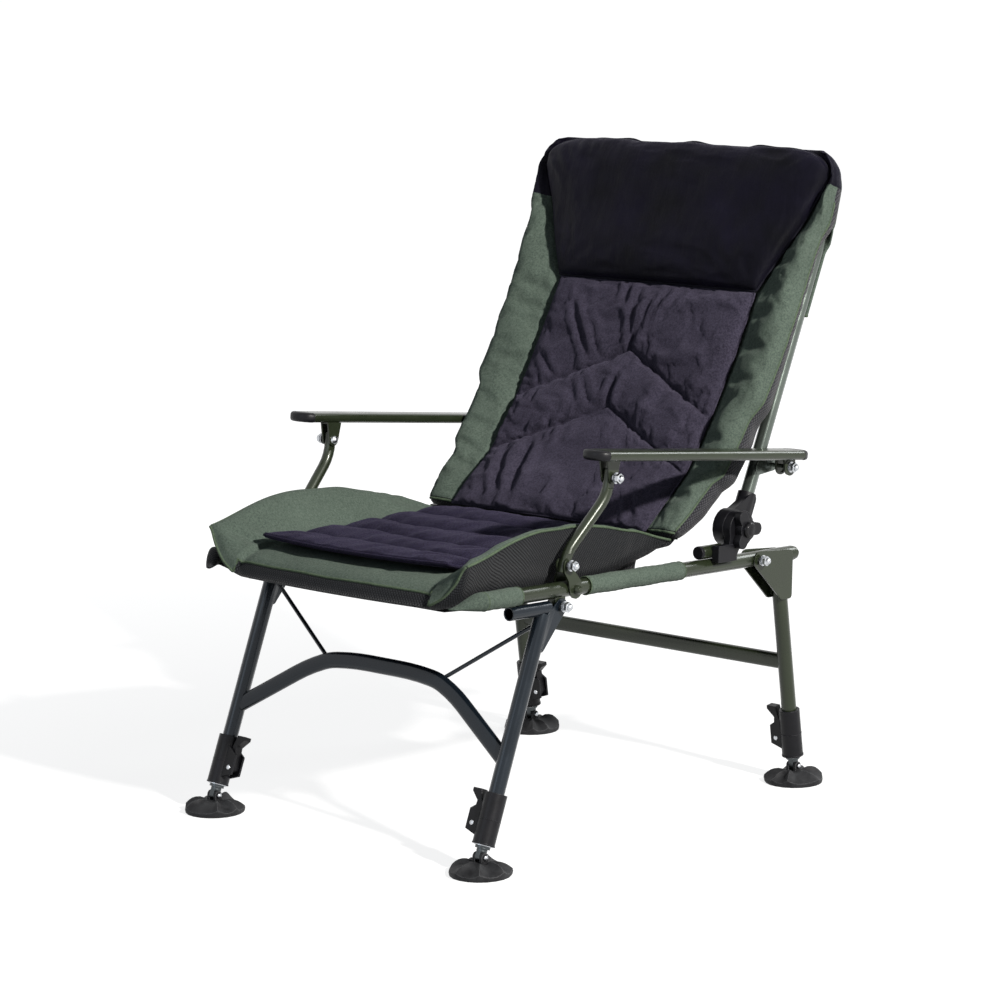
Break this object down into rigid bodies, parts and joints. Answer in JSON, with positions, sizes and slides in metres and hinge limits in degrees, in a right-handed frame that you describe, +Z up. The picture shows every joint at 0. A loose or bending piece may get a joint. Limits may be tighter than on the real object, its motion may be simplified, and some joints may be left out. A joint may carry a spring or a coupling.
{
  "type": "folding carp fishing chair",
  "caption": "Padded reclining fishing chair on a folding steel frame with telescopic swivel-footed legs, armrests and a headrest pillow.",
  "frame": {"origin": "on the ground, under the middle of the chair", "axes": "+X to the sitter's left, -Y the way the sitter faces, +Z up"},
  "size_m": [0.6156, 0.8376, 0.9259],
  "materials": {
    "frame_paint": "gloss dark olive paint",
    "zinc": "bright zinc plating",
    "bare_steel": "satin",
    "black_plastic": "fine moulded grain",
    "foot_rubber": "matt, ribbed",
    "green_fabric": "matt woven polyester",
    "dark_fabric": "matt woven polyester",
    "satin_fabric": "smooth satin"
  },
  "bodies": {
    "seat_frame": {"seat_rail_left": "frame_paint", "arm_saddle_left": "frame_paint", "arm_lower_bolt_left": "zinc", "recline_stub_left": "frame_paint", "recline_stub_plug_left": "black_plastic", "recline_lower_half_left": "black_plastic", "front_leg_bolt_left": "zinc", "rear_leg_bolt_left": "zinc", "seat_rail_right": "frame_paint", "arm_saddle_right": "frame_paint", "arm_lower_bolt_right": "zinc", "recline_stub_right": "frame_paint", "recline_stub_plug_right": "black_plastic", "recline_lower_half_right": "black_plastic", "front_leg_bolt_right": "zinc", "rear_leg_bolt_right": "zinc", "seat_sling": "dark_fabric", "seat_mattress": "green_fabric", "seat_mat": "dark_fabric"},
    "backrest": {"back_hoop": "frame_paint", "recline_upper_half_left": "black_plastic", "recline_upper_half_right": "black_plastic", "back_mattress": "green_fabric", "back_pad": "dark_fabric", "headrest_pillow": "satin_fabric", "rear_pocket": "green_fabric"},
    "left_arm_support": {"stanchion_left": "frame_paint"},
    "left_arm": {"armrest_left": "frame_paint", "armrest_front_plug_left": "black_plastic", "armrest_rear_plug_left": "black_plastic", "arm_upper_bolt_left": "zinc"},
    "left_knob": {"recline_knob_left": "black_plastic"},
    "right_arm_support": {"stanchion_right": "frame_paint"},
    "right_arm": {"armrest_right": "frame_paint", "armrest_front_plug_right": "black_plastic", "armrest_rear_plug_right": "black_plastic", "arm_upper_bolt_right": "zinc"},
    "right_knob": {"recline_knob_right": "black_plastic"},
    "front_legs": {"front_leg_frame": "frame_paint", "leg_stay_left": "frame_paint", "leg_stay_right": "frame_paint", "leg_sleeve_front_left": "black_plastic", "leg_sleeve_front_right": "black_plastic"},
    "rear_legs": {"rear_leg_frame": "frame_paint", "leg_sleeve_rear_left": "black_plastic", "leg_sleeve_rear_right": "black_plastic"},
    "front_left_inner_leg": {"inner_leg_front_left": "bare_steel"},
    "front_left_foot": {"mud_foot_front_left": "foot_rubber"},
    "front_left_lever": {"leg_lever_front_left": "black_plastic"},
    "front_right_inner_leg": {"inner_leg_front_right": "bare_steel"},
    "front_right_foot": {"mud_foot_front_right": "foot_rubber"},
    "front_right_lever": {"leg_lever_front_right": "black_plastic"},
    "rear_left_inner_leg": {"inner_leg_rear_left": "bare_steel"},
    "rear_left_foot": {"mud_foot_rear_left": "foot_rubber"},
    "rear_left_lever": {"leg_lever_rear_left": "black_plastic"},
    "rear_right_inner_leg": {"inner_leg_rear_right": "bare_steel"},
    "rear_right_foot": {"mud_foot_rear_right": "foot_rubber"},
    "rear_right_lever": {"leg_lever_rear_right": "black_plastic"}
  },
  "joints": [
    {"name": "back_recline", "type": "hinge", "parent": "seat_frame", "child": "backrest", "pos_m": [0, 0.15248, 0.40052], "axis": [1, 0, 0], "range_deg": [-15, 88]},
    {"name": "left_arm_support_swing", "type": "hinge", "parent": "seat_frame", "child": "left_arm_support", "pos_m": [0.26, -0.20444, 0.39751], "axis": [1, 0, 0], "range_deg": [-14, 78]},
    {"name": "left_arm_tilt", "type": "hinge", "parent": "left_arm_support", "child": "left_arm", "pos_m": [0.27, -0.1225, 0.50853], "axis": [1, 0, 0], "range_deg": [-73, 13]},
    {"name": "left_knob_turn", "type": "hinge", "parent": "seat_frame", "child": "left_knob", "pos_m": [0.26, 0.15248, 0.40052], "axis": [1, 0, 0], "continuous": true},
    {"name": "right_arm_support_swing", "type": "hinge", "parent": "seat_frame", "child": "right_arm_support", "pos_m": [-0.26, -0.20444, 0.39751], "axis": [1, 0, 0], "range_deg": [-14, 78]},
    {"name": "right_arm_tilt", "type": "hinge", "parent": "right_arm_support", "child": "right_arm", "pos_m": [-0.27, -0.1225, 0.50853], "axis": [1, 0, 0], "range_deg": [-73, 13]},
    {"name": "right_knob_turn", "type": "hinge", "parent": "seat_frame", "child": "right_knob", "pos_m": [-0.26, 0.15248, 0.40052], "axis": [1, 0, 0], "continuous": true},
    {"name": "front_legs_fold", "type": "hinge", "parent": "seat_frame", "child": "front_legs", "pos_m": [0, -0.21948, 0.34349], "axis": [1, 0, 0], "range_deg": [0, 100]},
    {"name": "rear_legs_fold", "type": "hinge", "parent": "seat_frame", "child": "rear_legs", "pos_m": [0, 0.20403, 0.34715], "axis": [1, 0, 0], "range_deg": [-85, 0]},
    {"name": "front_left_leg_slide", "type": "slide", "parent": "front_legs", "child": "front_left_inner_leg", "axis": [0, -0.3795, -0.9252], "range_m": [0, 0.1]},
    {"name": "front_left_foot_tilt", "type": "hinge", "parent": "front_left_inner_leg", "child": "front_left_foot", "pos_m": [0.26, -0.37679, 0.0245], "axis": [1, 0, 0], "range_deg": [-20, 20]},
    {"name": "front_left_lever_press", "type": "hinge", "parent": "front_legs", "child": "front_left_lever", "pos_m": [0.238, -0.36085, 0.06336], "axis": [0, 0.9252, -0.3795], "range_deg": [-18, 0], "stiffness_Nm_per_rad": 0.6},
    {"name": "front_right_leg_slide", "type": "slide", "parent": "front_legs", "child": "front_right_inner_leg", "axis": [0, -0.3795, -0.9252], "range_m": [0, 0.1]},
    {"name": "front_right_foot_tilt", "type": "hinge", "parent": "front_right_inner_leg", "child": "front_right_foot", "pos_m": [-0.26, -0.37679, 0.0245], "axis": [1, 0, 0], "range_deg": [-20, 20]},
    {"name": "front_right_lever_press", "type": "hinge", "parent": "front_legs", "child": "front_right_lever", "pos_m": [-0.238, -0.36085, 0.06336], "axis": [0, -0.9252, 0.3795], "range_deg": [-18, 0], "stiffness_Nm_per_rad": 0.6},
    {"name": "rear_left_leg_slide", "type": "slide", "parent": "rear_legs", "child": "rear_left_inner_leg", "axis": [0, 0.1305, -0.9914], "range_m": [0, 0.1]},
    {"name": "rear_left_foot_tilt", "type": "hinge", "parent": "rear_left_inner_leg", "child": "rear_left_foot", "pos_m": [0.26, 0.30138, 0.0245], "axis": [1, 0, 0], "range_deg": [-20, 20]},
    {"name": "rear_left_lever_press", "type": "hinge", "parent": "rear_legs", "child": "rear_left_lever", "pos_m": [0.238, 0.29589, 0.06614], "axis": [0, 0.9914, 0.1305], "range_deg": [-18, 0], "stiffness_Nm_per_rad": 0.6},
    {"name": "rear_right_leg_slide", "type": "slide", "parent": "rear_legs", "child": "rear_right_inner_leg", "axis": [0, 0.1305, -0.9914], "range_m": [0, 0.1]},
    {"name": "rear_right_foot_tilt", "type": "hinge", "parent": "rear_right_inner_leg", "child": "rear_right_foot", "pos_m": [-0.26, 0.30138, 0.0245], "axis": [1, 0, 0], "range_deg": [-20, 20]},
    {"name": "rear_right_lever_press", "type": "hinge", "parent": "rear_legs", "child": "rear_right_lever", "pos_m": [-0.238, 0.29589, 0.06614], "axis": [0, -0.9914, -0.1305], "range_deg": [-18, 0], "stiffness_Nm_per_rad": 0.6}
  ],
  "couplings": [
    {"joint": "left_arm_support_swing", "follows": "back_recline", "ratio": 0.881},
    {"joint": "left_arm_tilt", "follows": "back_recline", "ratio": -0.823},
    {"joint": "right_arm_support_swing", "follows": "back_recline", "ratio": 0.881},
    {"joint": "right_arm_tilt", "follows": "back_recline", "ratio": -0.823}
  ]
}
